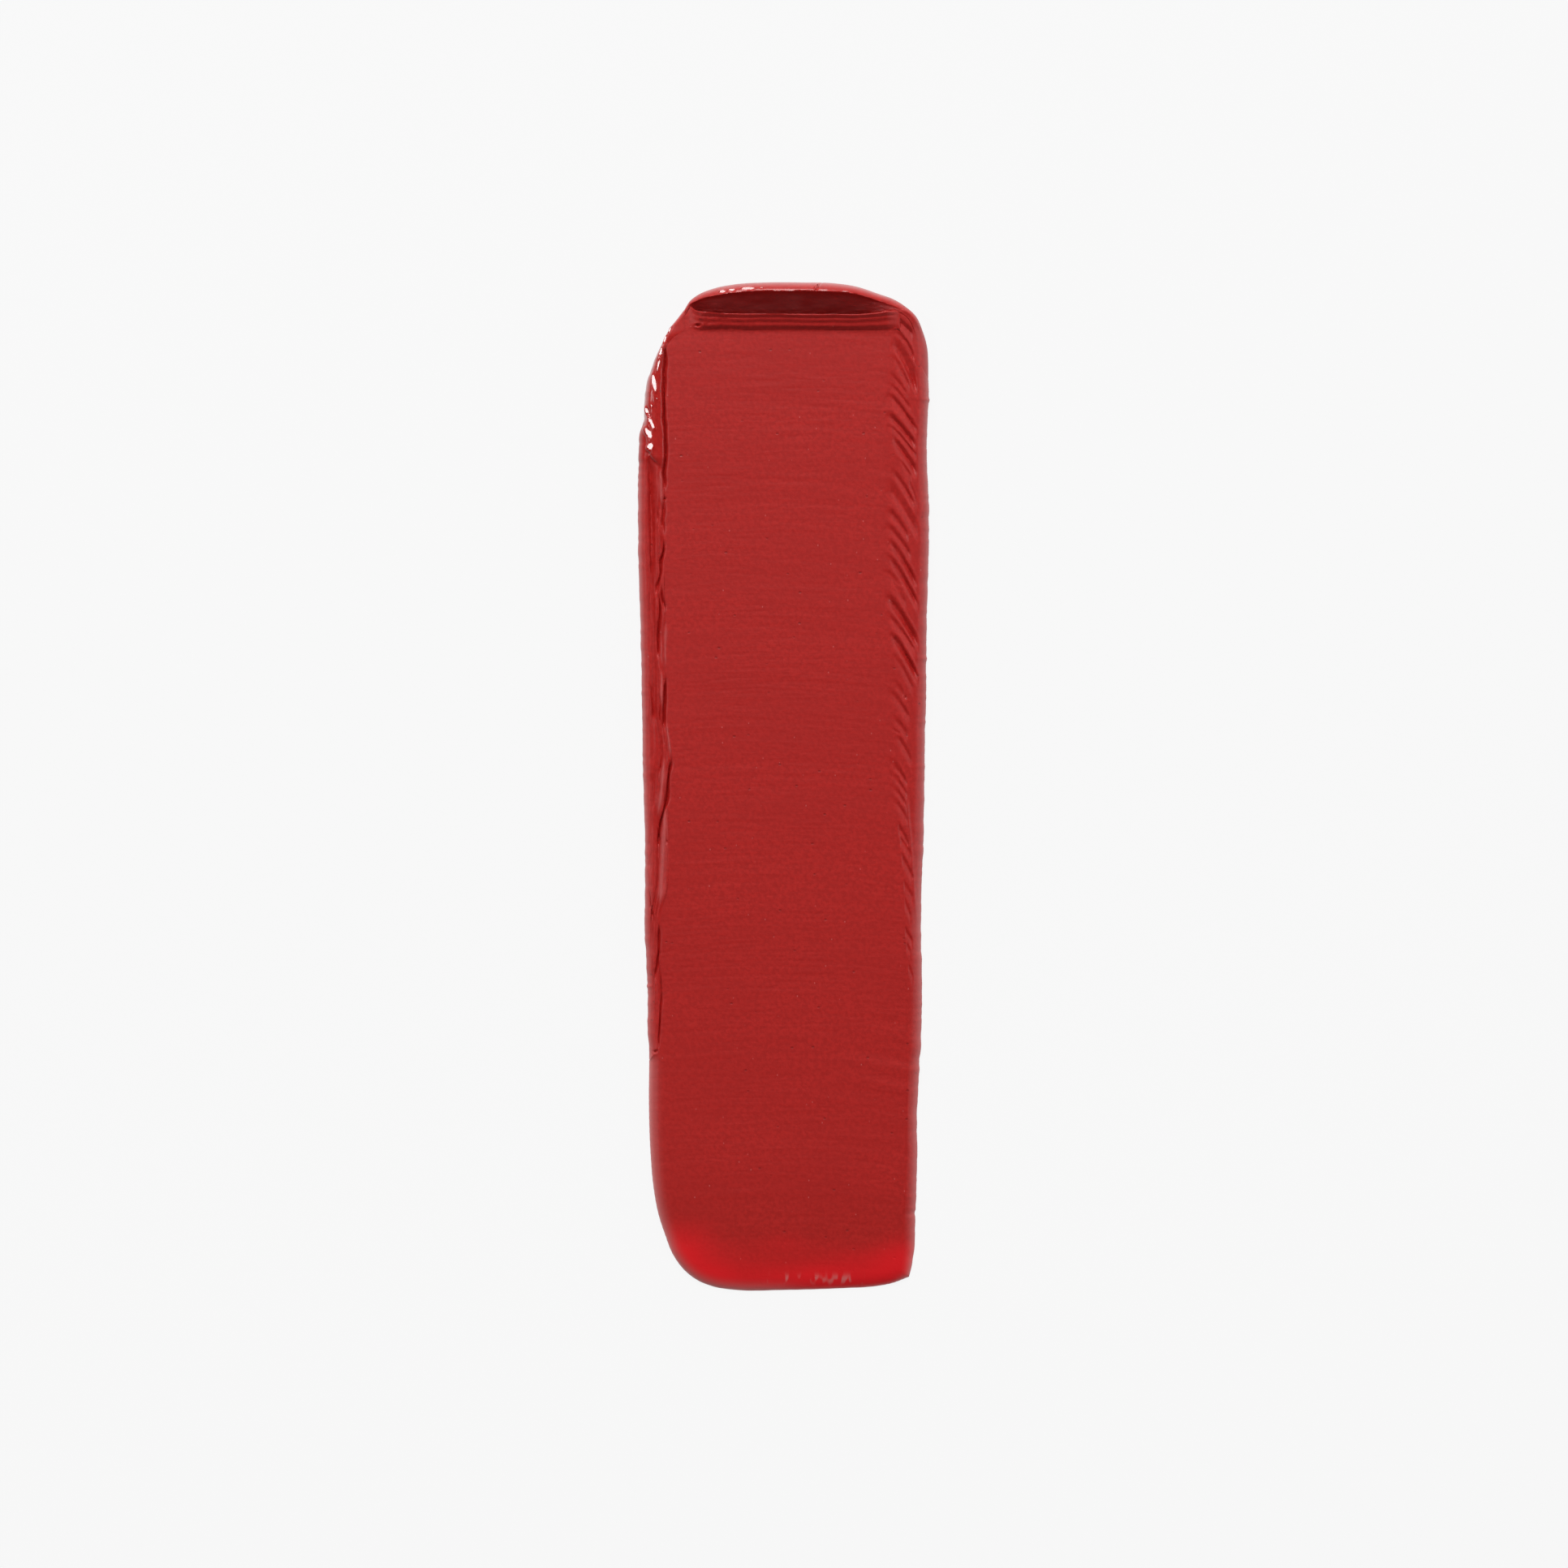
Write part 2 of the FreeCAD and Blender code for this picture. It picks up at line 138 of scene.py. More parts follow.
# Chatter marks on it: start, end, depth and the width of the steep side
CHATTER = [
    (5.90, 23.78, 6.66, 23.10, 0.13, 0.12), (5.74, 23.38, 6.30, 22.62, 0.13, 0.12),
    (6.20, 22.84, 6.72, 21.90, 0.10, 0.12),
    (5.65, 22.75, 6.90, 20.20, 0.24, 0.42), (5.66, 22.00, 6.50, 20.35, 0.10, 0.10),
    (5.46, 21.15, 6.40, 19.95, 0.06, 0.10), (5.44, 20.65, 6.60, 19.20, 0.07, 0.10),
    (5.44, 20.05, 6.92, 18.10, 0.14, 0.12), (5.42, 19.00, 6.85, 17.35, 0.18, 0.13),
    (5.50, 18.45, 6.90, 16.80, 0.14, 0.11), (5.60, 17.80, 6.90, 15.95, 0.19, 0.20),
    (6.00, 16.65, 6.60, 15.75, 0.06, 0.10), (5.72, 16.05, 6.75, 14.35, 0.12, 0.11),
    (6.40, 15.75, 6.90, 14.35, 0.05, 0.10), (5.42, 15.30, 7.00, 12.75, 0.13, 0.30),
    (5.44, 14.15, 6.45, 12.70, 0.12, 0.13), (5.42, 13.30, 6.60, 11.70, 0.12, 0.15),
    (5.46, 12.60, 6.90, 10.20, 0.18, 0.15), (5.42, 11.80, 7.00, 9.10, 0.18, 0.14),
    (5.30, 11.05, 5.95, 10.30, 0.08, 0.12), (5.70, 10.50, 6.30, 9.25, 0.07, 0.12),
    (5.28, 9.80, 7.00, 7.10, 0.24, 0.20), (5.42, 8.80, 6.85, 6.80, 0.12, 0.12),
    (5.56, 7.82, 6.96, 5.45, 0.23, 0.14), (5.70, 6.75, 6.75, 4.80, 0.07, 0.12),
    (5.72, 5.40, 6.20, 4.65, 0.06, 0.10), (5.44, 5.00, 6.55, 3.40, 0.09, 0.11),
    (5.72, 3.50, 6.40, 2.60, 0.07, 0.12), (5.84, 2.60, 6.65, 1.15, 0.08, 0.14),
    (5.48, 1.42, 6.38, 0.10, 0.12, 0.12), (5.48, 0.82, 6.42, -0.55, 0.12, 0.14),
    (5.48, 0.22, 6.36, -1.00, 0.12, 0.12), (5.62, -0.52, 6.36, -1.70, 0.11, 0.13),
    (5.86, -1.98, 6.46, -3.00, 0.13, 0.13), (5.94, -2.55, 6.60, -3.60, 0.11, 0.13),
    (6.04, -3.52, 6.70, -4.80, 0.11, 0.13), (6.14, -4.92, 6.66, -5.70, 0.08, 0.12),
    (6.20, -5.82, 6.55, -6.70, 0.09, 0.12), (6.20, -7.28, 6.65, -8.00, 0.10, 0.11),
    (6.30, -8.05, 6.54, -8.45, 0.07, 0.09), (6.40, -9.15, 6.66, -9.80, 0.06, 0.10),
]

# Creases on the left, each as X by Y, then its depth and half width. A negative depth is a rib.
CREASES = [
    ([(22.6, -6.03), (21.0, -6.07), (19.5, -6.11), (18.0, -6.04), (17.0, -6.02), (16.2, -6.10),
      (15.1, -6.03)], 0.26, 0.11),
    ([(14.8, -6.09), (14.0, -6.15), (13.4, -6.18), (12.8, -6.13)], 0.24, 0.09),
    ([(14.3, -6.43), (13.4, -6.40)], 0.10, 0.06),
    ([(12.7, -6.10), (12.0, -6.15), (11.5, -6.26), (11.0, -6.25), (10.4, -6.38), (9.7, -6.56)], 0.26, 0.09),
    ([(10.4, -6.27), (9.8, -6.20), (9.3, -6.10), (8.9, -6.05)], 0.22, 0.08),
    ([(10.0, -6.35), (9.0, -6.31), (8.3, -6.34), (7.6, -6.40), (6.5, -6.38)], 0.24, 0.075),
    ([(5.7, -5.97), (5.0, -6.04), (4.3, -6.10), (3.4, -6.11), (2.7, -6.17)], 0.28, 0.08),
    ([(4.9, -6.33), (4.0, -6.31), (3.1, -6.32)], 0.12, 0.06),
    ([(2.9, -6.25), (2.0, -6.22), (1.2, -6.26), (0.4, -6.34)], 0.12, 0.06),
    ([(1.55, -5.72), (0.8, -5.85), (0.3, -5.88), (-0.5, -5.97), (-1.2, -6.12), (-1.8, -6.26),
      (-2.4, -6.34), (-3.2, -6.41)], 0.34, 0.085),
    ([(-3.5, -6.42), (-4.2, -6.42), (-5.3, -6.47)], 0.08, 0.05),
    ([(-4.9, -6.95), (-5.8, -6.80), (-6.6, -6.70), (-7.1, -6.55)], 0.14, 0.06),
    ([(-6.9, -6.38), (-8.0, -6.40), (-8.8, -6.42), (-9.3, -6.50), (-10.0, -6.56)], 0.24, 0.09),
    ([(-10.4, -6.20), (-11.5, -6.30), (-12.6, -6.36), (-13.5, -6.43)], 0.20, 0.06),
    ([(17.0, -6.90), (15.0, -6.78), (13.0, -6.72), (10.8, -6.76)], 0.13, 0.15),
    ([(5.5, -6.88), (4.9, -6.76), (4.0, -6.66), (3.1, -6.66)], 0.13, 0.10),
    ([(0.8, -6.72), (-0.5, -6.70), (-2.0, -6.76), (-4.6, -6.86)], 0.10, 0.12),
    ([(16.4, -6.25), (15.2, -6.23), (14.2, -6.22)], -0.06, 0.06),
    ([(7.7, -6.22), (6.9, -6.20), (6.1, -6.22)], -0.06, 0.05),
    ([(8.6, -5.99), (7.5, -6.00), (6.0, -6.03)], -0.04, 0.08),
    ([(6.2, -6.24), (5.0, -6.22), (3.8, -6.20)], -0.04, 0.06),
    ([(3.5, -5.96), (2.4, -5.86), (1.8, -5.79), (1.45, -5.86)], -0.07, 0.06),
    ([(1.6, -6.08), (0.6, -6.16), (-0.4, -6.30), (-1.6, -6.44)], -0.05, 0.13),
    ([(-0.9, -6.04), (-2.4, -6.10), (-4.0, -6.20), (-6.1, -6.30)], -0.05, 0.15),
]
# Small dents: centre, half width, half length and depth. A negative depth is a lump.
DENTS = [
    (-6.55, -13.52, 0.09, 0.05, 0.16), (-6.06, 14.72, 0.06, 0.04, 0.14), (-5.96, -2.80, 0.05, 0.07, 0.08),
    (-4.35, 23.58, 0.14, 0.06, 0.16), (5.74, 2.86, 0.06, 0.06, 0.12), (6.25, 4.60, 0.05, 0.05, 0.08),
    (-7.00, 3.75, 0.14, 0.35, -0.06),
]
# Nibs on the free edges: Y, half length and how far each sticks out
RIGHT_NIBS = [
    (19.85, 0.10, 0.05), (6.60, 0.14, 0.05), (3.35, 0.12, 0.04), (-14.10, 0.25, -0.05),
    (-21.85, 0.12, -0.03),
]
LEFT_NIBS = [(-10.20, 0.10, 0.05), (-14.60, 0.20, -0.04)]
RUFFLES = [(0.55, 0.018), (0.21, 0.012)]   # their small unevenness: length and height of each wave

# The roll's edge over the fold, and the flap's edge on the fold, as X by Y
BEAD_EDGE = [(16.2, -6.20), (16.5, -6.45), (16.9, -6.80), (17.4, -6.97), (18.2, -7.05), (BEAD_FREE_Y, -7.17)]
FLAP_EDGE = [
    (-6.3, -6.28), (-5.0, -6.40), (-3.2, -6.42), (-1.2, -6.36), (0.6, -6.32), (1.6, -6.00), (3.3, -5.98),
]
# Wet facets on the roll that catch the light: centre, half width, half length and lean
FACETS = [
    (-6.59, 20.66, 0.12, 0.46, -0.15), (-6.45, 19.84, 0.05, 0.10, 0.0), (-6.94, 19.15, 0.13, 0.32, -0.30),
    (-6.73, 18.62, 0.13, 0.34, -0.48), (-6.92, 18.12, 0.18, 0.30, -0.45), (-6.81, 17.40, 0.19, 0.20, 0.20),
    (-6.73, 19.48, 0.06, 0.12, 0.0), (-6.86, 16.97, 0.06, 0.12, 0.0), (-6.37, 21.55, 0.05, 0.32, 0.22),
    (-6.24, 22.25, 0.07, 0.26, 0.28), (-6.04, 22.88, 0.07, 0.22, 0.40), (-5.79, 23.38, 0.06, 0.18, 0.45),
]
# Slopes along X and Y that mirror the small left light straight up
FACET_SLOPE = (0.315, 0.015)
# The same on the crest of the curl, for the small far light
CREST_FACETS = [
    (-3.10, 25.24, 0.17, 0.09, 0.0), (-2.62, 25.32, 0.17, 0.09, 0.0), (-1.80, 25.38, 0.34, 0.10, 0.0),
    (-1.10, 25.42, 0.10, 0.05, 0.0), (1.66, 25.48, 0.04, 0.14, 0.6),
]
CREST_FACET_SLOPE = (0.105, -0.234)

# Zones along X or Y, each as (start, full, fade, end)
RIDGE_ZONE = (-4.9, -3.9, 5.2, 6.0)
HOLLOW_ZONE = (-4.9, -3.6, 5.0, 6.1)
# Painted glints at the toe, along X
TOE_GLINT_ZONE = (-1.8, -1.2, 4.1, 4.5)
RIGHT_FREE_ZONE = (-25.1, -24.5, 20.4, 20.9)
LEFT_FREE_ZONE = (FOLD_LOW_Y, FOLD_LOW_Y + 0.6, 23.8, 24.5)
SECOND_RIB_ZONE = (-7.5, -5.5, -1.2, 0.2)
STREAK_ZONE = (-13.5, -10.0, 15.5, 16.8)
VALLEY_ZONE = (-9.0, -5.0, 15.5, 17.0)
ROLL_ZONE = (16.2, 16.9, 22.2, 23.6)
ROLL_GLOSS_ZONE = (16.4, 17.2, 22.6, 23.6)

# Shapes of the marks
EDGE_SHARE = 0.06            # share of the thickness left where a free edge meets the surface
EDGE_ROUNDNESS = 2.8
SHOULDER_FALL = (0.20, 0.16)   # share of the thickness lost over the shoulder, even and at its end
CHATTER_BEND = 0.20          # how much a mark curves
CHATTER_SLANT = 0.52         # distance across a mark for each millimetre of Y
CHATTER_FOOT = 0.30          # width of its gentle side
CHATTER_LIP = 0.10           # raised lip over it, as a share of its depth
SECOND_RIB = [(-6.6, 6.82), (-0.4, 6.30)]   # a faint rib on the shoulder, as X by Y
SECOND_RIB_HEIGHT = 0.045
ROLL_RISE = 0.26             # the roll over the fold
ROLL_SIDE = 0.30             # width over which it swells
VALLEY_DEPTH = 0.11          # between the fold's rim and its crease
STOP_RISE = 0.02             # paste heaped against the blade, on the strip's side of the stop line
CREST_NICK = (1.75, 25.40, 0.10)   # a nick across the crest: its place and depth
THIN_TOE_Y = -23.3           # the outline below this bounds the see-through toe

# Meshes
LEAST = 0.02                 # no paste is thinner than this
WELD = 2e-7                  # metres
SHARP_ANGLE = math.radians(62)
DENSE = 3000                 # points on a smooth line through listed ones
RIGHT_POINTS = 1100          # points on the right side that distances are measured from
CAP_ROWS = 560
FALL, WALL, RIDGE = 24, 26, 40     # columns on the outer slope, the hollow's wall and the ridge
CORNER_RUN = 0.8             # share of the curl's length that lies before the right corner
STRIP_ROWS = 760
# Columns over the strip, as shares of its width: dense at the left creases and on the shoulder
STRIP_COLUMNS = np.concatenate([
    0.045 * np.linspace(0, 1, 18) ** 1.3, np.linspace(0.060, 0.870, 46), np.linspace(0.874, 1, 60),
])
MARGIN_COLUMNS = 64
TIP_ROWS = 17                # rows of the left margin beside the ridge


def spline(rows, at):
    """Smooth values at the given places, through listed rows of (place, value)."""
    places, values = np.array(sorted(rows)).T
    slopes = np.gradient(values, places)
    left = np.clip(np.searchsorted(places, at) - 1, 0, len(places) - 2)
    gap = places[left + 1] - places[left]
    t = np.clip((at - places[left]) / gap, 0, 1)
    rise = t * t * (3 - 2 * t)
    bend = gap * (t * (1 - t) ** 2 * slopes[left] - t * t * (1 - t) * slopes[left + 1])
    return values[left] * (1 - rise) + values[left + 1] * rise + bend


def along(points, count):
    """Evenly spaced points in plan on a smooth curve through listed ones."""
    points = np.array(points)
    steps = np.hypot(*np.diff(points, axis=0).T)
    at = np.concatenate([[0], np.cumsum(steps)])
    places = np.linspace(0, at[-1], count)
    return np.column_stack([spline(list(zip(at, points[:, k])), places) for k in (0, 1)])


def step(low, high, value):
    """0 on the low side, 1 on the high side, smooth between."""
    t = np.clip((value - low) / (high - low), 0, 1)
    return t * t * (3 - 2 * t)


def inside(value, zone):
    """1 in the middle of a zone, 0 outside it, smooth between."""
    start, full, fade, end = zone
    return step(start, full, value) * step(end, fade, value)


def bell(distance, width):
    return np.exp(-((distance / width) ** 2))


def quarter_round(share):
    """Height of a quarter circle: steep at share 0, level at share 1."""
    return np.sqrt(np.clip(1 - (1 - share) ** 2, 0, 1))


def noise(u, v, seed):
    """Smooth noise between -1 and 1, with cells of one unit."""
    table = np.random.default_rng(seed).uniform(-1, 1, (256, 256))
    i, j = np.floor(u).astype(int), np.floor(v).astype(int)
    fu, fv = step(0, 1, u - i), step(0, 1, v - j)
    corner = [[table[(i + a) % 256, (j + b) % 256] for b in (0, 1)] for a in (0, 1)]
    near = corner[0][0] * (1 - fv) + corner[0][1] * fv
    far = corner[1][0] * (1 - fv) + corner[1][1] * fv
    return near * (1 - fu) + far * fu


def x_on(edge, y):
    """X at y on an edge that runs along Y."""
    return spline([(py, px) for px, py in edge], y)


def free_edge(edge, nibs, ruffled, seed, outwards, y):
    """X at y on a free edge, with its nibs and its small unevenness."""
    bumps = sum(out * bell(y - at, half) for at, half, out in nibs)
    waves = sum(high * noise(y / span, 0 * y, seed + k) for k, (span, high) in enumerate(RUFFLES))
    return x_on(edge, y) + outwards * bumps + waves * inside(y, ruffled)


def right_outline(y):
    return free_edge(RIGHT_SIDE, RIGHT_NIBS, RIGHT_FREE_ZONE, 71, 1, y)


def left_outline(y):
    return free_edge(LEFT_SIDE, LEFT_NIBS, LEFT_FREE_ZONE, 75, -1, y)


# The height field

def round_over(height, rim, reach):
    """Lets a height fall to the surface at a free edge, over a rounded bevel."""
    t = np.clip(rim / reach, 0, 1)
    foot = EDGE_SHARE * height
    return foot + (height - foot) * np.sqrt(np.clip(1 - (1 - t) ** EDGE_ROUNDNESS, 0, 1))


def drag_marks(x, y):
    """Fine marks that the blade left across the stroke, arched a little, and in patches."""
    arched = y + 0.012 * (x + 1.0) ** 2 + 0.10 * noise(x / 3.1, y / 2.0, 4)
    patches = 0.15 + 0.85 * step(0.0, 0.7, noise(x / 2.4, arched / 1.1, 7))
    slide = 4.0 * noise(0 * x, arched / 0.31, 10)
    waver = 0.5 * noise(x / 2.0, y / 0.7, 12)
    fine = 0.0042 * patches * noise(x / 1.1 + slide, arched / 0.15 + waver, 1)
    broad = 0.0030 * noise(x / 4.0 + slide, arched / 0.40, 2) + 0.004 * noise(x / 9.0, arched / 1.2, 3)
    low_right = step(1.0, 5.0, x) * bell(y + 15.0, 2.2)
    bands = 0.022 * low_right * noise(x / 6.0, arched / 0.55, 9)
    return fine + broad + bands


def shoulder_drop(x, y):
    start = spline(SHOULDER_START, y)
    share = np.clip((x - start) / (right_outline(y) - start), 0, 1)
    even, late = SHOULDER_FALL
    return spline(THICKNESS, y) * (even * share + late * share ** 3)


def chatter(x, y):
    """Depth of the chatter marks. Each has a steep side towards the curl and a gentle one below."""
    depth, lip = np.zeros_like(y), np.zeros_like(y)
    for x0, y0, x1, y1, deep, wall in CHATTER:
        t = (x - x0) / (x1 - x0)
        track = y0 + (y1 - y0) * ((1 - CHATTER_BEND) * t + CHATTER_BEND * t * t)
        off = CHATTER_SLANT * (y - track)
        reach = inside(t, (0.0, 0.16, 0.78, 1.0))
        steep = np.clip(1 - off / wall, 0, 1) * (off >= 0)
        gentle = np.clip(1 + off / CHATTER_FOOT, 0, 1) ** 1.4 * (off < 0)
        depth = np.maximum(depth, deep * reach * (steep + gentle))
        lip = np.maximum(lip, CHATTER_LIP * deep * reach * bell(off - wall - 0.07, 0.06))
    fainter_below = 0.62 + 0.34 * step(-4, 4, y)
    return fainter_below * (depth - lip)


def second_rib(x, y):
    spine = np.interp(y, *zip(*SECOND_RIB))
    return SECOND_RIB_HEIGHT * bell(x - spine, 0.08) * inside(y, SECOND_RIB_ZONE)


def creases(x, y):
    """Depth of the creases, and where a rib gets a painted highlight."""
    total, rib_highlight = np.zeros_like(y), np.zeros_like(y)
    for rows, deep, width in CREASES:
        ys = [row[0] for row in rows]
        low, high = min(ys), max(ys)
        fade = min(0.70, 0.45 * (high - low))
        reach = inside(y, (low, low + fade, high - fade, high))
        off = np.abs(x - spline(rows, y) - 0.025 * noise(y / 0.40, 0 * y, len(rows)))
        narrow = width * (0.72 + 0.28 * noise(y / 0.6, 0 * y, len(rows) + 40))
        mark = reach * np.exp(-((off / narrow) ** 1.5))
        total += deep * mark
        # Ribs get a painted highlight.
        if deep < 0:
            rib_highlight = np.maximum(rib_highlight, mark)
    shallower_below = 0.78 + 0.22 * step(14.0, 16.0, y)
    return shallower_below * total, rib_highlight


def dents(x, y):
    return sum(deep * bell(x - cx, half_x) * bell(y - cy, half_y) for cx, cy, half_x, half_y, deep in DENTS)


def roll_height(x, y, outer, share):
    """The glossy roll over the left lap, swelling from its outer edge."""
    edge = np.where(y < BEAD_FREE_Y, spline(BEAD_EDGE, y), outer)
    swell = quarter_round(np.clip((x - edge) / ROLL_SIDE, 0, 1))
    lean = 1 - (0.65 + 0.35 * step(21.8, 22.8, y)) * share
    wrinkles = 0.010 * noise(x / 0.14 + 0.4 * y, y / 0.45, 21) * step(0.1, 0.4, share)
    return inside(y, ROLL_ZONE) * (ROLL_RISE * swell * lean + wrinkles)


def margin_height(x, y):
    """Height of the laps on the left, distance from the outline, bevel width, and where the ribs get a
    painted highlight.
    """
    outer = left_outline(y)
    width = np.maximum(x_on(INNER_SIDE, np.minimum(y, BLADE_Y)) - outer, 0.05)
    share = np.clip((x - outer) / width, 0, 1)
    height = spline(THICKNESS, y) * (1 - 0.20 * (1 - share) ** 1.6 * step(23.5, 21.0, y))
    streaks = 0.050 * noise(share * 8 - 0.35 * y, y / 1.5, 31)
    streaks += 0.040 * noise(share * 17 + 0.2 * y, y / 2.4, 32)
    uneven = 0.020 * noise(x / 0.5, y / 1.1, 33)
    height += (streaks * step(0.25, 0.5, share) + uneven) * inside(y, STREAK_ZONE)
    height += roll_height(x, y, outer, share)
    height -= VALLEY_DEPTH * bell(share - 0.52, 0.15) * inside(y, VALLEY_ZONE)
    sunk, rib_highlight = creases(x, y)
    reach = 0.46 - 0.18 * step(20.0, 22.5, y)
    return height - sunk - dents(x, y), np.maximum(x - outer, 0), reach, rib_highlight


def facets(x, y, z, places, slope):
    """Turns the wet facets towards the light, and says where they are."""
    wet = np.zeros_like(z)
    for cx, cy, half_x, half_y, lean in places:
        off_x, off_y = x - cx - lean * (y - cy), y - cy
        away = (off_x / half_x) ** 2 + (off_y / half_y) ** 2
        mask = 1 - step(0.90, 1.40, np.sqrt(away))
        middle = z[away < 0.4].mean() + 0.01
        plane = middle + slope[0] * (x - cx) + slope[1] * off_y
        z = z * (1 - mask) + plane * mask
        wet = np.maximum(wet, mask)
    return z, wet


# Meshes

def body(name, x, y, z, keep, layers, node, material):
    """A closed body in millimetres under the grid faces to keep, standing on the ground."""
    count, size = x.shape
    corner = np.arange(count * size).reshape(count, size)
    quads = np.stack([corner[:-1, :-1], corner[:-1, 1:], corner[1:, 1:], corner[1:, :-1]], axis=-1)
    mesh = bpy.data.meshes.new(name)
    points = np.stack([x, y, np.maximum(z, LEAST)], axis=-1).reshape(-1, 3) * MM
    mesh.from_pydata(points.tolist(), [], quads[keep].tolist())
    for layer, values in layers.items():
        shade = mesh.attributes.new(layer, "FLOAT", "POINT")
        shade.data.foreach_set("value", np.clip(values, 0, 1).reshape(-1).astype(np.float32))
    work = bmesh.new()
    work.from_mesh(mesh)
    loose = [vert for vert in work.verts if not vert.link_faces]
    bmesh.ops.delete(work, geom=loose, context="VERTS")
    bmesh.ops.remove_doubles(work, verts=work.verts, dist=WELD)
    rim = [edge for edge in work.edges if edge.is_boundary]
    skirt = bmesh.ops.extrude_edge_only(work, edges=rim)["geom"]
    for vert in (item for item in skirt if isinstance(item, bmesh.types.BMVert)):
        vert.co.z = 0
    foot = [item for item in skirt if isinstance(item, bmesh.types.BMEdge) and item.is_boundary]
    bmesh.ops.holes_fill(work, edges=foot, sides=0)
    bmesh.ops.recalc_face_normals(work, faces=work.faces)
    work.to_mesh(mesh)
    work.free()
    mesh.shade_smooth()
    mesh.set_sharp_from_angle(angle=SHARP_ANGLE)
    piece = bpy.data.objects.new(name, mesh)
    bpy.context.scene.collection.objects.link(piece)
    mesh.materials.append(material)
    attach(piece, "root")
    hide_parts(node)


def distance_to(x, y, line):
    """Distance in plan from each point to the nearest point of a densely sampled line."""
    nearest = np.full(x.shape, np.inf)
    for px, py in line:
        nearest = np.minimum(nearest, (x - px) ** 2 + (y - py) ** 2)
    return np.sqrt(nearest)


# Materials

# Texture scales are in cells to a metre, and bump depths in millimetres
RED = (0.437, 0.0125, 0.0102)
# Lighter red where the paste thins, raised further as painted light on the toe's slope that faces away from
# the key.
THIN_LIT_RED = (0.760, 0.0110, 0.0155)
# Pink of the paste's pale flecks, and of the painted sheen, highlights and glints.
PALE_FLECK_AND_SHEEN = (0.640, 0.1700, 0.1650)


def paste(name, roughness, gloss_roughness, specular, bumps):
    """Lipstick paste, finely mottled. The layers make it brighter where thin, partly as painted light, and
    wetter, and paint on sheen, highlights and glints.
    """
    material = bpy.data.materials.new(name)
    material.use_nodes = True
    nodes, links = material.node_tree.nodes, material.node_tree.links
    shader = nodes["Principled BSDF"]
    place = nodes.new("ShaderNodeTexCoord").outputs["Object"]

    def texture(kind, scale, stretch=(1, 1, 1), turn=(0, 0, 0), detail=2):
        mapping = nodes.new("ShaderNodeMapping")
        mapping.inputs["Scale"].default_value = stretch
        mapping.inputs["Rotation"].default_value = turn
        links.new(place, mapping.inputs["Vector"])
        made = nodes.new(kind)
        made.inputs["Scale"].default_value = scale
        made.inputs["Detail"].default_value = detail
        links.new(mapping.outputs["Vector"], made.inputs["Vector"])
        return made

    def remap(socket, low, high, new_low, new_high):
        made = nodes.new("ShaderNodeMapRange")
        for key, value in zip(("From Min", "From Max", "To Min", "To Max"), (low, high, new_low, new_high)):
            made.inputs[key].default_value = value
        links.new(socket, made.inputs["Value"])
        return made.outputs["Result"]

    def layer(key):
        made = nodes.new("ShaderNodeAttribute")
        made.attribute_name = key
        return made.outputs["Fac"]

    def blend(factor, first, second):
        made = nodes.new("ShaderNodeMix")
        made.data_type = "RGBA"
        sockets = [socket for socket in made.inputs if socket.type == "RGBA"]
        links.new(factor, made.inputs["Factor"])
        for socket, value in zip(sockets, (first, second)):
            if isinstance(value, tuple):
                socket.default_value = (*value, 1)
            else:
                links.new(value, socket)
        return [socket for socket in made.outputs if socket.type == "RGBA"][0]

    def dent(height, depth, strength, below=None):
        made = nodes.new("ShaderNodeBump")
        made.inputs["Strength"].default_value = strength
        made.inputs["Distance"].default_value = depth * MM
        links.new(height, made.inputs["Height"])
        if below:
            links.new(below, made.inputs["Normal"])
        return made.outputs["Normal"]

    dark = tuple(0.50 * c for c in RED)
    shade = tuple(0.90 * c for c in RED)
    light = (1.08 * RED[0], 1.22 * RED[1], 1.22 * RED[2])
    mottle = texture("ShaderNodeTexNoise", 5200, turn=(0.6, 0.4, 0.7), detail=3)
    drag = texture("ShaderNodeTexNoise", 420, (1, 10, 1), (0.02, 0.03, 0.04), 4)
    dots = texture("ShaderNodeTexVoronoi", 900, (1, 1.4, 1), detail=0)
    flecks = texture("ShaderNodeTexVoronoi", 1050, (1.6, 1, 1), (0.2, 0.1, 0.3), 0)
    toe_glints = texture("ShaderNodeTexNoise", 2600, (1, 0.25, 1), detail=1)
    cloud = texture("ShaderNodeTexNoise", 150, (1, 2.5, 1), (0.3, 0.2, 0.1))
    mixed = blend(remap(mottle.outputs["Fac"], 0.38, 0.62, 0, 1), shade, light)
    dragged = blend(remap(drag.outputs["Fac"], 0.50, 0.72, 0, 0.45), mixed, shade)
    clouded = blend(remap(cloud.outputs["Fac"], 0.40, 0.62, 0, 0.35), dragged, shade)
    flecked = blend(remap(flecks.outputs["Distance"], 0.030, 0.060, 0.45, 0), clouded, PALE_FLECK_AND_SHEEN)
    dotted = blend(remap(dots.outputs["Distance"], 0.040, 0.090, 0.70, 0), flecked, dark)
    thinned_and_lit = blend(layer("thin_and_lit"), dotted, THIN_LIT_RED)
    # Painted light: sheen on rounded edges, highlights on ribs, lighter streaks in the curl's hollow.
    painted_light = blend(layer("painted_light"), thinned_and_lit, PALE_FLECK_AND_SHEEN)
    # Painted glints in short streaks along the toe's edge.
    with_glints = blend(remap(toe_glints.outputs["Fac"], 0.53, 0.62, 0, 0.8), painted_light, PALE_FLECK_AND_SHEEN)
    links.new(blend(layer("toe_glints"), painted_light, with_glints), shader.inputs["Base Color"])

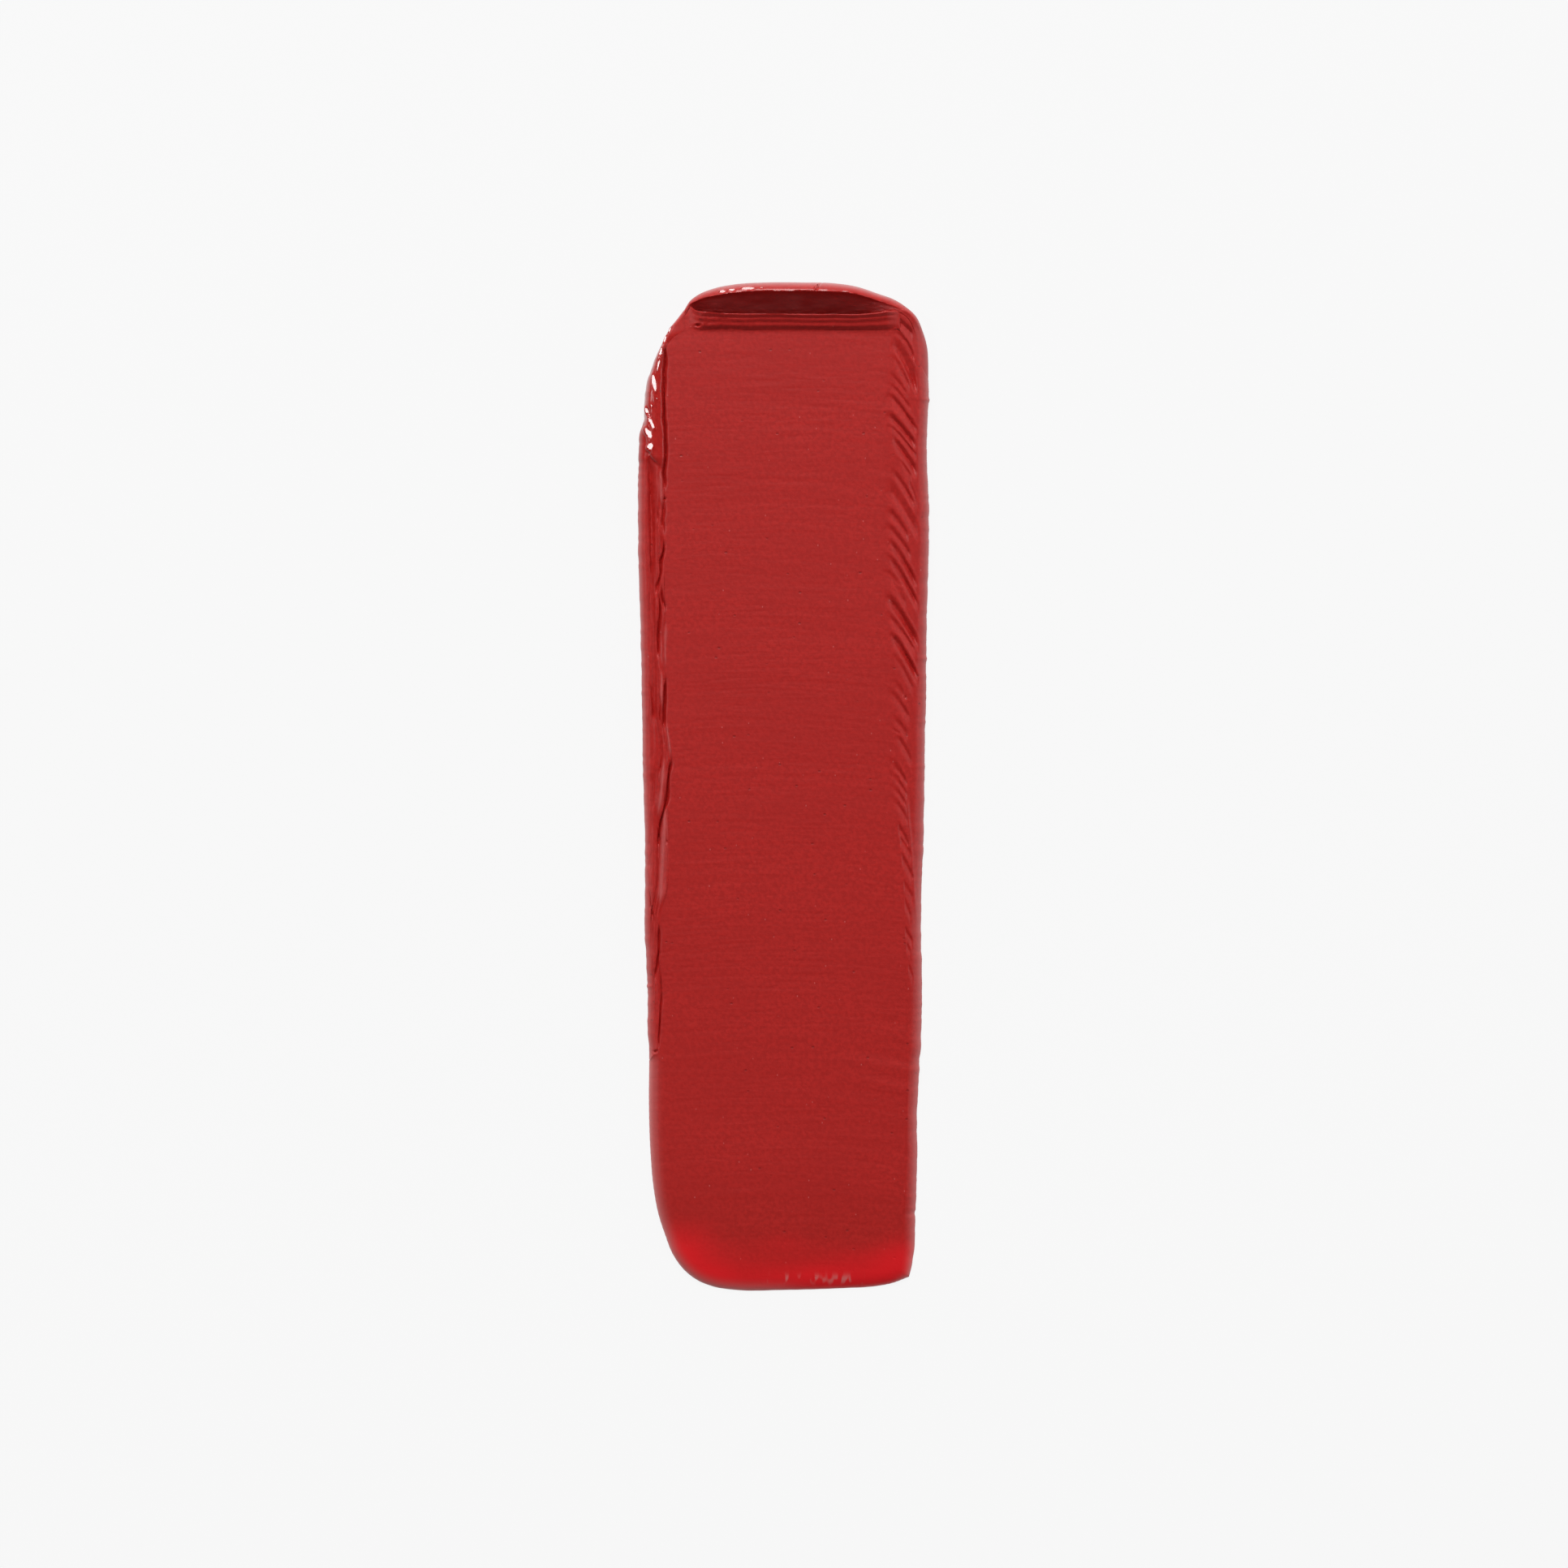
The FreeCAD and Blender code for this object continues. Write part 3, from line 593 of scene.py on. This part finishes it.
    links.new(remap(layer("gloss"), 0, 1, roughness, gloss_roughness), shader.inputs["Roughness"])
    shader.inputs["Specular IOR Level"].default_value = specular
    speck = dent(mottle.outputs["Fac"], 0.024, bumps)
    streak = dent(drag.outputs["Fac"], 0.025, bumps, speck)
    pitted = dent(remap(dots.outputs["Distance"], 0.030, 0.090, 0, 1), 0.020, 0.5, streak)
    links.new(pitted, shader.inputs["Normal"])
    return material


# Roughness, roughness where it is wet, specular level and strength of the fine bumps
pressed = paste("pressed_paste", 0.45, 0.30, 0.40, 0.30)
ridged = paste("ridge_paste", 0.45, 0.25, 0.40, 0.30)
rolled = paste("rolled_paste", 0.45, 0.16, 0.50, 0.10)
glossy = paste("glossy_paste", 0.42, 0.10, 0.55, 0.05)
streaked = paste("streaked_paste", 0.45, 0.25, 0.28, 0.20)
flapped = paste("flap_paste", 0.45, 0.25, 0.32, 0.20)


# The curl and the ridge share one grid: from the outline to the blade line

def cap_guides():
    """Plan curves and heights along the curl."""
    table = np.array([[*o, *c, *f, *b, crest, hollow] for o, c, f, b, crest, hollow in CAP])
    gaps = np.hypot(*np.diff(table[:, :2], axis=0).T)
    at = np.concatenate([[0], np.cumsum(gaps)])
    places = np.linspace(0, at[-1], CAP_ROWS)
    return np.column_stack([spline(list(zip(at, column)), places) for column in table.T])


guides = cap_guides()
outline_line, crest_line, foot_line, blade_line = (guides[:, k:k + 2] for k in (0, 2, 4, 6))

side = along(TOE, DENSE)
corner_row = int(np.argmin(np.hypot(side[:, 0] - TOE_CORNER[0], side[:, 1] - TOE_CORNER[1])))
inner_line = along(INNER_SIDE, DENSE)
left_line = np.vstack([side[corner_row:0:-1], inner_line])
free_y = np.linspace(RIGHT_SIDE[0][1], RIGHT_SIDE[-1][1], RIGHT_POINTS)
free_line = np.vstack([np.column_stack([right_outline(free_y), free_y]), side[::3], outline_line])


def strip_surface(x, y):
    """The strip's height, and the layers that say where it is thin and painted lighter, where it is wet, and
    where sheen, highlights and glints are painted.
    """
    rim = distance_to(x, y, free_line)
    stop = distance_to(x, y, blade_line[::2])
    toe = distance_to(x, y, side[side[:, 1] < THIN_TOE_Y][::3])
    across = x - spline(SHOULDER_START, y)
    dragged = (1 - 0.5 * step(0, 0.2, across)) * step(-25.0, -22.0, y)
    stopped = inside(x, RIDGE_ZONE) * step(21.7, 22.5, y)
    sunk, rib_highlight = creases(x, y)

    z = spline(THICKNESS, y) - shoulder_drop(x, y)
    z -= chatter(x, y) * step(-0.2, 0.1, across)
    z += second_rib(x, y) + drag_marks(x, y) * dragged
    z += STOP_RISE * stopped * np.exp(-stop / 0.06)
    z -= sunk + dents(x, y)
    reach = 0.58 + 0.20 * step(6.0, -16.0, y) + 0.06 * noise(y / 1.7, 0 * x, 8)
    z = round_over(z, rim, reach)

    # Lighter red where the toe thins, which also paints light onto its slope that faces away from the key.
    near_toe = 1 - step(0.20, 3.2, toe + 0.50 * noise(x / 1.9, y / 1.1, 11))
    thin_and_lit = near_toe * step(-21.6, -23.6, y)
    # Painted sheen on the rounded edges low on the left, at the toe and on the right, and painted highlights
    # on the ribs.
    low_left = step(2.0, -2.0, x) * step(-12.5, -14.5, y)
    at_toe = step(-24.0, -25.0, y)
    at_right = step(5.5, 6.5, x) * (0.40 + 0.15 * step(-3, -8, y))
    painted_light = 0.75 * low_left * bell(rim, 0.34) + 0.40 * at_toe * bell(rim, 0.12)
    painted_light += at_right * bell(rim, 0.26) + 0.22 * rib_highlight
    # Painted glints along the toe's edge.
    toe_glints = bell(y + 25.22, 0.22) * inside(x, TOE_GLINT_ZONE)
    return z, {"thin_and_lit": thin_and_lit, "gloss": 0.15 + 0.4 * thin_and_lit, "painted_light": painted_light, "toe_glints": toe_glints}


def ridge_height(x, y, run, rib, hollow):
    """Height from the foot of the hollow, over the double rib, to the blade line."""
    profile = spline(RIDGE_PROFILE, np.clip(rib + 0.03 * noise(run * 22, rib * 2, 51), 0, 1))
    mottled = 0.028 * noise(run * 75, rib * 5, 52) * step(-1.0, -4.0, x)
    height = spline(THICKNESS, y) - shoulder_drop(x, y)
    height += inside(x, RIDGE_ZONE) * (run < CORNER_RUN) * (profile + mottled)
    at_corner = step(5.4, 6.1, x) * (run > 0.5)
    height += at_corner * (0.08 * (1 - rib) - chatter(x, y))
    rise = step(0, 0.04, rib)
    return hollow * (1 - rise) + height * rise


def make_cap():
    crest, hollow = guides[:, 8, None], guides[:, 9, None]
    fall = np.linspace(0, 1, FALL, endpoint=False) ** 1.25
    wall = np.linspace(0, 1, WALL, endpoint=False)
    rib = np.linspace(0, 1, RIDGE)
    legs = [(outline_line, crest_line, fall), (crest_line, foot_line, wall), (foot_line, blade_line, rib)]
    x, y = [
        np.concatenate([a[:, k, None] * (1 - t) + b[:, k, None] * t for a, b, t in legs], axis=1)
        for k in (0, 1)
    ]
    run = np.linspace(0, 1, CAP_ROWS)[:, None]
    middle = inside(foot_line[:, :1], HOLLOW_ZONE) * (run < CORNER_RUN)

    top = crest * (1 + 0.010 * noise(run * 40, 0 * run, 66))
    outer = top * (EDGE_SHARE + (1 - EDGE_SHARE) * quarter_round(fall))
    inner = hollow + (top - hollow) * (1 - wall) ** 2.1
    inner += middle * (0.045 * noise(run * 30, wall * 6, 63) + 0.025 * noise(run * 70, wall * 14, 64))
    ridge = ridge_height(x[:, -RIDGE:], y[:, -RIDGE:], run, rib, hollow)
    z = np.concatenate([outer, inner, ridge], axis=1) - dents(x, y)
    left_crest = middle * step(25.0, 25.25, y) * step(0.5, -1.4, x)
    z += 0.020 * noise(run * 130, y * 4, 65) * left_crest
    nick_x, nick_y, nick_depth = CREST_NICK
    z -= nick_depth * bell(x - nick_x - 0.6 * (y - nick_y), 0.05) * step(25.1, 25.3, y)
    z, lit = facets(x, y, z, CREST_FACETS, CREST_FACET_SLOPE)
    joins = step(CORNER_RUN, CORNER_RUN + 0.08, run)
    z = z * (1 - joins) + strip_surface(x, y)[0] * joins

    on_crest = np.concatenate([0 * fall + 1, step(0.1, 0, wall), 0 * rib])
    below_crest = step(0.05, 0.25, wall) * (1 - 0.9 * step(0.55, 0.85, wall))
    in_hollow = np.concatenate([0 * fall, below_crest, 0 * rib])
    # Painted light in the hollow under the crest, in streaks and stronger towards both ends.
    streaky = 0.5 + 0.5 * noise(run * 24, y * 6, 67)
    tips = step(-3.8, -4.5, x) + step(4.2, 5.4, x)
    painted_light = middle * in_hollow * (0.25 + 0.34 * streaky + 0.25 * tips)
    gloss = np.maximum(lit, 0.60 * on_crest * middle)
    layers = {"gloss": gloss, "thin_and_lit": 0 * z, "painted_light": painted_light, "toe_glints": 0 * z}
    face_x = 0.25 * (x[:-1, :-1] + x[:-1, 1:] + x[1:, 1:] + x[1:, :-1])
    is_ridge = np.zeros(face_x.shape, bool)
    is_ridge[:, FALL + WALL:] = True
    is_ridge &= (face_x < RIDGE_RIGHT) & (y[:-1, :-1] > BLADE_Y - 0.2)
    body("curl_skin", x, y, z, ~is_ridge, layers, "end_curl", rolled)
    body("ridge_skin", x, y, z, is_ridge, layers, "blade_ridge", ridged)


make_cap()


# The strip

def resample(line, shares):
    """Points on a dense line at the given shares of its length."""
    run = np.concatenate([[0], np.cumsum(np.hypot(*np.diff(line, axis=0).T))])
    return np.column_stack([np.interp(shares * run[-1], run, line[:, k]) for k in (0, 1)])


left_rows = resample(left_line, np.linspace(0, 1, STRIP_ROWS))


def strip_plan():
    """Plan positions over the strip, by blending its four sides."""
    right_y = np.linspace(RIGHT_SIDE[0][1], RIGHT_SIDE[-1][1], STRIP_ROWS)
    right = np.column_stack([right_outline(right_y), right_y])
    u = STRIP_COLUMNS
    v = np.linspace(0, 1, STRIP_ROWS)[:, None]
    toe = resample(side[corner_row:], u)
    blade = resample(blade_line, u)
    plan = []
    for k in (0, 1):
        sides = (1 - u) * left_rows[:, k, None] + u * right[:, k, None]
        ends = (1 - v) * toe[:, k] + v * blade[:, k]
        corners = (
            (1 - v) * ((1 - u) * toe[0, k] + u * toe[-1, k])
            + v * ((1 - u) * blade[0, k] + u * blade[-1, k])
        )
        plan.append(sides + ends - corners)
    return plan


def make_strip():
    x, y = strip_plan()
    z, layers = strip_surface(x, y)
    keep = np.ones((x.shape[0] - 1, x.shape[1] - 1), bool)
    body("strip_skin", x, y, z, keep, layers, "spread_strip", pressed)


make_strip()


# The laps on the left share one grid too

def make_margin():
    inner = left_rows[left_rows[:, 1] >= FOLD_LOW_Y]
    tip_y = np.linspace(BLADE_Y, LEFT_FREE_ZONE[-1], TIP_ROWS + 1)[1:]
    inner = np.vstack([inner, np.column_stack([0 * tip_y + CAP_LEFT, tip_y])])
    outer = np.minimum(left_outline(inner[:, 1]), inner[:, 0] - 0.01)
    even = np.linspace(0, 1, MARGIN_COLUMNS)
    u = 0.5 * (even + 0.5 - 0.5 * np.cos(math.pi * even))     # denser at both edges
    x = outer[:, None] + (inner[:, 0] - outer)[:, None] * u
    y = np.repeat(inner[:, 1:], len(u), axis=1)
    height, rim, reach, rib_highlight = margin_height(x, y)
    z, wet = facets(x, y, round_over(height, rim, reach), FACETS, FACET_SLOPE)
    on_roll = inside(y, ROLL_GLOSS_ZONE)
    # Painted sheen on the fold's rounded outer edge below the roll, and painted highlights on the ribs.
    painted_light = (0.46 * bell(rim, 0.30) * step(17.0, 15.5, y) + 0.42 * rib_highlight) * (1 - on_roll)
    gloss = np.maximum(wet, 0.15 + 0.40 * on_roll)
    layers = {"gloss": gloss, "thin_and_lit": 0 * z, "painted_light": painted_light, "toe_glints": 0 * z}
    mid_x, mid_y = x[:-1, :-1], y[:-1, :-1]
    on_fold = (mid_y < BEAD_FREE_Y) & (mid_x <= spline(BEAD_EDGE, mid_y))
    is_bead = (mid_y > BEAD_LOW_Y) & ~on_fold
    beside_flap = (mid_y > FLAP_EDGE[0][0]) & (mid_y < FLAP_EDGE[-1][0])
    is_flap = beside_flap & (mid_x > spline(FLAP_EDGE, mid_y))
    is_fold = ~is_bead & ~is_flap
    body("bead_skin", x, y, z, is_bead, layers, "left_bead", glossy)
    body("fold_skin", x, y, z, is_fold, layers, "left_fold", streaked)
    body("flap_skin", x, y, z, is_flap, layers, "left_flap", flapped)


make_margin()


# Floor, light and camera

FLOOR_REACH = 3.0
LIGHT_DISTANCE = 0.40
VIEW_WIDTH = 80.4 * MM               # what the camera sees across, at the outline's height
OUTLINE_HEIGHT = 0.3 * MM
VIEW_SHIFT = (0.04 * MM, 0.16 * MM)  # how far the camera stands off the middle of the smear


def make_floor():
    mesh = bpy.data.meshes.new("floor")
    corners = [(-1, -1), (1, -1), (1, 1), (-1, 1)]
    points = [(FLOOR_REACH * x, FLOOR_REACH * y, -0.02 * MM) for x, y in corners]
    mesh.from_pydata(points, [], [(0, 1, 2, 3)])
    floor = bpy.data.objects.new("floor", mesh)
    bpy.context.scene.collection.objects.link(floor)
    material = bpy.data.materials.new("pale_floor")
    material.use_nodes = True
    shader = material.node_tree.nodes["Principled BSDF"]
    shader.inputs["Base Color"].default_value = (0.06, 0.06, 0.06, 1)
    shader.inputs["Specular IOR Level"].default_value = 0.0
    shader.inputs["Roughness"].default_value = 1.0
    shader.inputs["Emission Color"].default_value = (1, 1, 1, 1)
    shader.inputs["Emission Strength"].default_value = 0.885
    floor.data.materials.append(material)


def area_light(name, direction, size, power):
    """A square soft light that shines on the smear from a direction."""
    data = bpy.data.lights.new(name, "AREA")
    data.size = size
    data.energy = power
    light = bpy.data.objects.new(name, data)
    towards = Vector(direction).normalized()
    light.location = towards * LIGHT_DISTANCE
    light.rotation_euler = towards.to_track_quat("Z", "Y").to_euler()
    bpy.context.scene.collection.objects.link(light)


def make_world():
    """Soft light from the sides, brighter beyond the curl and darker overhead."""
    world = bpy.data.worlds.new("studio")
    bpy.context.scene.world = world
    world.use_nodes = True
    nodes, links = world.node_tree.nodes, world.node_tree.links
    place = nodes.new("ShaderNodeTexCoord")
    ramps = []
    for direction, rows in (
        ((0, 0, 1), [(0.50, 1.0), (0.93, 0.16)]), ((0.35, 0.94, 0), [(0.25, 0.22), (0.75, 1.0)]),
    ):
        toward = nodes.new("ShaderNodeVectorMath")
        toward.operation = "DOT_PRODUCT"
        toward.inputs[1].default_value = direction
        links.new(place.outputs["Generated"], toward.inputs[0])
        shift = nodes.new("ShaderNodeMapRange")
        shift.inputs["From Min"].default_value = -1
        links.new(toward.outputs["Value"], shift.inputs["Value"])
        ramp = nodes.new("ShaderNodeValToRGB")
        for element, (position, value) in zip(ramp.color_ramp.elements, rows):
            element.position = position
            element.color = (value, value, value, 1)
        links.new(shift.outputs["Result"], ramp.inputs["Fac"])
        ramps.append(ramp)
    product = nodes.new("ShaderNodeMix")
    product.data_type = "RGBA"
    product.blend_type = "MULTIPLY"
    product.inputs["Factor"].default_value = 1.0
    colours = [socket for socket in product.inputs if socket.type == "RGBA"]
    for ramp, socket in zip(ramps, colours):
        links.new(ramp.outputs["Color"], socket)
    result = [socket for socket in product.outputs if socket.type == "RGBA"][0]
    links.new(result, nodes["Background"].inputs["Color"])
    nodes["Background"].inputs["Strength"].default_value = 0.95


make_floor()
make_world()
area_light("key", (-0.05, 0.85, 0.75), 0.22, 1.10)
area_light("right_fill", (0.95, 0.10, 0.55), 0.20, 0.15)
area_light("left_glint", (-0.60, 0.12, 0.79), 0.055, 0.20)
area_light("far_glint", (-0.20, 0.58, 0.79), 0.065, 0.20)

camera_data = bpy.data.cameras.new("camera")
camera_data.lens = 100
camera_data.sensor_width = 36
camera_data.clip_start = 0.01
camera_data.clip_end = 5.0
camera = bpy.data.objects.new("camera", camera_data)
centre = (cad_low + cad_high) / 2
camera.location = (
    centre.x + VIEW_SHIFT[0],
    centre.y + VIEW_SHIFT[1],
    OUTLINE_HEIGHT + VIEW_WIDTH * camera_data.lens / camera_data.sensor_width,
)
bpy.context.scene.collection.objects.link(camera)
bpy.context.scene.camera = camera
bpy.context.scene.view_settings.view_transform = "Standard"
bpy.context.scene.view_settings.look = "None"
